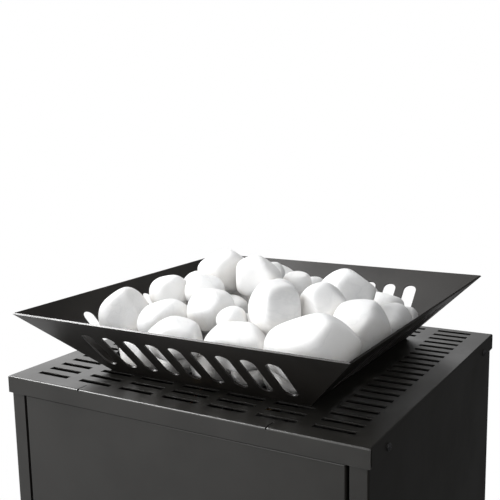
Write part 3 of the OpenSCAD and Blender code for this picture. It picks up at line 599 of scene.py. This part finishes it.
def doorFolds(first, second):
    low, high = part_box("door_panel")
    keep = np.zeros(len(first), bool)
    for x in (low.x, high.x):
        keep |= along(first, second, x=x, y=low.y) | along(first, second, x=x, y=high.y)
    for z in (low.z, high.z):
        keep |= along(first, second, z=z, y=low.y) | along(first, second, z=z, y=high.y)
    return keep


def postFolds(first, second):           # the upright bends of both side panels
    keep = np.zeros(len(first), bool)
    for node in ("left_side_panel", "right_side_panel"):
        low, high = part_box(node)
        for x in (low.x, high.x):
            keep |= along(first, second, x=x, y=low.y)
        outer = low.x if node == "left_side_panel" else high.x
        keep |= along(first, second, x=outer, y=high.y)
    return keep

foldedSheets = {                        # node: fold radius, cut edge radius, which edges are bends
    "lid": (0.0021, 0.00030, lidFolds),
    "door_panel": (0.0020, 0.00030, doorFolds),
    "left_side_panel": (0.0020, 0.00030, postFolds),
    "right_side_panel": (0.0020, 0.00030, postFolds),
}
cutRadius = {                           # metres; the rest of the hard parts take the usual one
    "usual": 0.00035, "tray_front_wall": 0.0004, "tray_back_wall": 0.0004, "tray_left_wall": 0.0004,
    "tray_right_wall": 0.0004, "feet": 0.0012, "control_knob": 0.0008, "flush_pull": 0.0008,
    "burner_ring": 0.0003, "catch_housing": 0.0006, "gas_valve": 0.0006, "injector_block": 0.0006,
    "latch_housing": 0.0007, "igniter_button": 0.0006,
}
for node, (fold, cut, isFold) in foldedSheets.items():
    roundedPiece(node, cut, roundingLook["cutTurns"], fold, isFold)
stones = {"stones_lower", "stones_middle", "stones_upper"}
for node in nodes:
    if node not in foldedSheets and node not in stones:
        roundedPiece(node, cutRadius.get(node, cutRadius["usual"]), roundingLook["smallTurns"])
print("hard parts rounded:", len(nodes) - len(stones))

pebbleLook = {
    "grid": 24,                         # squares along each side of the cube that each pebble is swelled from
    "cuts": 7,                          # flats worn on each pebble
    "depth": (0.74, 0.95),              # how near each flat is to the middle, as a share of the oval
    "sharpness": 15.0,                  # how crisp the ridges between the flats are
    "contactSharpness": 26.0,           # and where pebbles press on each other or on the tray
    "lumps": 0.016,                     # height of the broad lumps, as a share of the radius
    "grow": {"stones_lower": 1.35, "stones_middle": 1.20, "stones_upper": 1.20},    # swelling past the oval
    "gap": 0.0002,                      # metres left where two of them meet
    "wallSheet": 0.002,                 # thickness of the tray's sheet
    "near": 1.3,                        # two pebbles can meet within this many times their reach
    "tries": 240,                       # directions tried for the flat between them
    "tilt": 0.35,                       # and how far those stray from the line between their middles
    "waves": 7,                         # waves that make the broad lumps
    "waveScale": 2.0,                   # how closely they follow each other
    "waveHeight": 2.2,                  # makes up for the waves that cancel each other
    "ownWithin": 0.006,                 # metres from a middle listed below
    "ownClear": 0.6,                    # cosine of the angle that chance flats keep from the listed ones
    "pushes": 30,                       # rounds of spreading the flats apart
    "push": 0.05,                       # and how hard each round pushes
    "seed": 11,                         # another number gives other chance flats and lumps
}
# The biggest pebbles on top have flats of their own: the middle, over the lid, then the way each flat faces
# and its depth
wornPebbles = [
    ((0.135, -0.142, 0.061), [
        ((0.8, -0.45, 0.35), 0.76), ((-0.15, -0.55, 0.85), 0.82), ((0.55, 0.25, 0.8), 0.82),
        ((1.0, -0.15, -0.1), 0.84)]),
    ((0.068, -0.102, 0.081), [
        ((0.85, -0.45, 0.25), 0.74), ((-0.4, -0.9, 0.2), 0.82), ((0.15, -0.1, 1.0), 0.90)]),
    ((-0.016, -0.1, 0.076), [
        ((0.05, -0.8, 0.6), 0.78), ((0.9, -0.35, -0.2), 0.82), ((0.15, 0.15, 1.0), 0.88)]),
    ((0.05, -0.15, 0.054), [
        ((0.1, -0.35, 0.95), 0.78), ((0.75, 0.3, 0.6), 0.80), ((-0.6, -0.5, 0.65), 0.86)]),
    ((-0.028, -0.15, 0.052), [
        ((-0.4, -0.45, 0.8), 0.78), ((0.95, 0.2, 0.25), 0.76), ((0.2, -0.15, 0.95), 0.86)]),
    ((-0.07, -0.114, 0.06), [
        ((-0.25, -0.2, 0.95), 0.86), ((0.7, -0.65, -0.25), 0.72), ((-0.4, -0.7, 0.6), 0.84)]),
    ((-0.138, -0.102, 0.056), [
        ((0.55, -0.75, 0.3), 0.80), ((0.8, 0.2, 0.55), 0.72), ((-0.6, -0.2, 0.8), 0.90)]),
    ((0.108, -0.066, 0.086), [
        ((0.6, -0.65, 0.45), 0.78), ((0.65, 0.3, 0.7), 0.86), ((-0.4, -0.95, 0.0), 0.82)]),
    ((0.1, 0.022, 0.082), [
        ((0.5, 0.35, 0.8), 0.80), ((0.55, -0.75, 0.3), 0.78), ((-0.5, -0.5, 0.7), 0.84)]),
    ((0.156, -0.076, 0.069), [
        ((0.0, 0.0, 1.0), 0.80), ((0.8, 0.2, 0.55), 0.84), ((0.85, -0.45, -0.15), 0.78),
        ((0.0, -0.85, 0.5), 0.84)]),
    ((-0.05, -0.012, 0.102), [
        ((-0.25, -0.45, 0.85), 0.80), ((0.85, -0.55, 0.05), 0.72), ((0.45, 0.4, 0.8), 0.86)]),
    ((0.004, -0.028, 0.102), [
        ((0.55, 0.25, 0.8), 0.80), ((0.15, -1.0, 0.05), 0.76), ((-0.05, -0.3, 0.95), 0.86)]),
    ((-0.106, -0.054, 0.078), [
        ((-0.2, -0.3, 0.95), 0.86), ((0.65, -0.7, 0.25), 0.82)]),
    ((-0.049, -0.062, 0.088), [
        ((0.3, -0.1, 0.95), 0.80), ((0.3, -0.9, 0.35), 0.82)]),
]


def swelledCube(squares):
    # Directions over a sphere: each cube face's grid is spread by tan(a * pi / 4), then made unit length
    steps = np.tan(np.linspace(-1, 1, squares + 1) * math.pi / 4)
    u, v = np.meshgrid(steps, steps, indexing="ij")
    w = np.ones_like(u)
    sheets = [(w, u, v), (-w, v, u), (v, w, u), (u, -w, v), (u, v, w), (v, u, -w)]
    places = np.concatenate([np.stack(s, axis=-1).reshape(-1, 3) for s in sheets])
    places /= np.linalg.norm(places, axis=1, keepdims=True)
    count = (squares + 1) ** 2
    i, j = np.meshgrid(np.arange(squares), np.arange(squares), indexing="ij")
    corner = (i * (squares + 1) + j).reshape(-1)
    quad = np.stack([corner, corner + squares + 1, corner + squares + 2, corner + 1], axis=1)
    quads = np.concatenate([quad + k * count for k in range(6)])
    unique, same = np.unique(np.round(places, 6), axis=0, return_inverse=True)
    return unique, same.reshape(-1)[quads]


def ovalsOf(node):
    # Each closed oval of a stones node: its middle, its axes as columns and its three half lengths. They come
    # from sums over its triangles of volume and second moment: along an axis of an oval, the second moment
    # over the volume is a fifth of the half length squared
    corners = cornerArray(nodes[node].data)
    faces = np.zeros(len(nodes[node].data.polygons) * 3, int)
    nodes[node].data.polygons.foreach_get("vertices", faces)
    shared, same = np.unique(np.round(corners, 6), axis=0, return_inverse=True)
    faces = same.reshape(-1)[faces].reshape(-1, 3)
    label = np.arange(len(shared))
    while True:
        lowest = label[faces].min(axis=1)
        spread = label.copy()
        for k in range(3):
            np.minimum.at(spread, faces[:, k], lowest)
        if (spread == label).all():
            break
        label = spread
    found = []
    for mark in np.unique(label[faces[:, 0]]):
        a, b, c = (shared[faces[label[faces[:, 0]] == mark][:, k]] for k in range(3))
        volume = np.einsum("ij,ij->i", a, np.cross(b, c)) / 6
        whole = volume.sum()
        middle = (volume[:, None] * (a + b + c)).sum(axis=0) / 4 / whole
        a, b, c = a - middle, b - middle, c - middle
        volume = np.einsum("ij,ij->i", a, np.cross(b, c)) / 6
        total = a + b + c
        second = sum(np.einsum("i,ij,ik->jk", volume, p, p) for p in (a, b, c, total)) / 20 / whole
        size, axes = np.linalg.eigh(second)
        axes[:, 2] *= np.sign(np.linalg.det(axes))      # right-handed, so that no pebble is turned inside out
        found.append((middle, axes, np.sqrt(np.maximum(size, 1e-12) * 5)))
    return sorted(found, key=lambda oval: tuple(np.round(oval[0], 4)))


def supportOf(oval, ways):              # how far an oval reaches from its middle along unit directions
    return np.linalg.norm((ways @ oval[1]) * oval[2], axis=-1)


def traySides():
    # The inner faces of the tray, each as an outward unit vector and its distance from the origin along it
    low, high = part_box("tray_front_wall")
    sheet = pebbleLook["wallSheet"]
    rise = high.z - lidTop - sheet / math.sqrt(2)
    halfDeep = -low.y - rise - sheet * math.sqrt(2)
    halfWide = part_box("tray_right_wall")[1].x - rise - sheet * math.sqrt(2)
    sides = [((0, 0, -1), -lidTop - sheet)]
    for x, y, half in ((1, 0, halfWide), (-1, 0, halfWide), (0, 1, halfDeep), (0, -1, halfDeep)):
        sides.append((np.array((x, y, -1)) / math.sqrt(2), (half - lidTop) / math.sqrt(2)))
    return [(np.array(way, float), reach) for way, reach in sides]


def meetingFlats(ovals, random):
    # For each oval, the flats where it would meet its neighbours and the tray: a pair's flat is square to the
    # direction that keeps the two furthest apart, half way across the gap between them
    flats = [[] for _ in ovals]
    look = pebbleLook
    tilts = random.normal(size=(look["tries"], 3)) * look["tilt"]
    for i, first in enumerate(ovals):
        for way, reach in traySides():
            flats[i].append((way, reach - way @ first[0]))
        for j in range(i + 1, len(ovals)):
            second = ovals[j]
            between = second[0] - first[0]
            if np.linalg.norm(between) > look["near"] * (first[2].max() + second[2].max()):
                continue
            ways = between / np.linalg.norm(between) + tilts
            ways /= np.linalg.norm(ways, axis=1, keepdims=True)
            gaps = ways @ between - supportOf(first, ways) - supportOf(second, ways)
            best = ways[np.argmax(gaps)]
            half = gaps.max() / 2
            flats[i].append((best, supportOf(first, best) + half))
            flats[j].append((-best, supportOf(second, best) + half))
    return flats


def nearest(directions, half, ways, reaches, sharpness):
    # 1 / radius along each direction, for a soft minimum of an oval and flats, raised to the sharpness
    facing = np.maximum(directions @ ways.T, 0) / reaches
    oval = 0 if half is None else np.linalg.norm(directions / half, axis=1) ** sharpness
    return oval + (facing ** sharpness).sum(axis=1)


def pebblePlaces(directions, node, oval, worn, meeting, random):
    # The radius along each direction: a soft minimum of the swelled oval and its worn flats, with broad lumps
    # on it, and then of that and the flats where it meets its neighbours
    look = pebbleLook
    middle, axes, half = oval
    grown = (middle, axes, half * look["grow"][node])
    depths = random.uniform(*look["depth"], look["cuts"])
    ways = spreadDirections(look["cuts"], random)
    if worn:
        own = np.array([way for way, depth in worn])
        own /= np.linalg.norm(own, axis=1, keepdims=True)
        far = (ways @ own.T).max(axis=1) < look["ownClear"]
        ways = np.concatenate([ways[far], own])
        depths = np.concatenate([depths[far], [depth for way, depth in worn]])
    sharp = look["sharpness"]
    reaches = supportOf(grown, ways) * depths
    radius = nearest(directions, grown[2], ways @ axes, reaches, sharp) ** (-1 / sharp)
    waves = random.normal(size=(look["waves"], 3)) * look["waveScale"]
    turns = random.uniform(0, 2 * math.pi, look["waves"])
    lumps = np.sin(directions @ waves.T + turns).mean(axis=1)
    radius *= 1 + look["lumps"] * look["waveHeight"] * lumps
    ways = np.array([way for way, reach in meeting]) @ axes
    reaches = np.array([reach for way, reach in meeting]) - look["gap"]
    sharp = look["contactSharpness"]
    radius = (nearest(directions, None, ways, reaches, sharp) + radius ** -sharp) ** (-1 / sharp)
    return (directions * radius[:, None]) @ axes.T + middle


def spreadDirections(count, random):    # unit vectors, kept well apart by pushing near ones off each other
    flats = random.normal(size=(count, 3))
    for _ in range(pebbleLook["pushes"]):
        flats /= np.linalg.norm(flats, axis=1, keepdims=True)
        apart = flats[:, None] - flats[None]
        near = np.linalg.norm(apart, axis=2) + np.eye(count)
        flats += pebbleLook["push"] * (apart / near[..., None] ** 3).sum(axis=1)
    return flats / np.linalg.norm(flats, axis=1, keepdims=True)


def makePebbles():
    random = np.random.default_rng(pebbleLook["seed"])
    directions, quads = swelledCube(pebbleLook["grid"])
    ovals = [(node, oval) for node in sorted(stones) for oval in ovalsOf(node)]
    flats = meetingFlats([oval for node, oval in ovals], random)
    wornAt = np.array([middle for middle, worn in wornPebbles]) + (0, 0, lidTop)
    places, faces = {}, {}
    for (node, oval), meeting in zip(ovals, flats):
        away = np.linalg.norm(wornAt - oval[0], axis=1)
        worn = wornPebbles[away.argmin()][1] if away.min() < pebbleLook["ownWithin"] else []
        local = pebblePlaces(directions, node, oval, worn, meeting, random)
        count = len(places.setdefault(node, []))
        places[node].append(local)
        faces.setdefault(node, []).append(quads + count * len(directions))
    for node in sorted(stones):
        mesh = bpy.data.meshes.new(node + "_pebbles")
        mesh.from_pydata(np.concatenate(places[node]).tolist(), [], np.concatenate(faces[node]).tolist())
        mesh.update()
        mesh.shade_smooth()
        addPiece(node.replace("stones", "pebbles"), mesh, node)


makePebbles()
print("pebbles made")
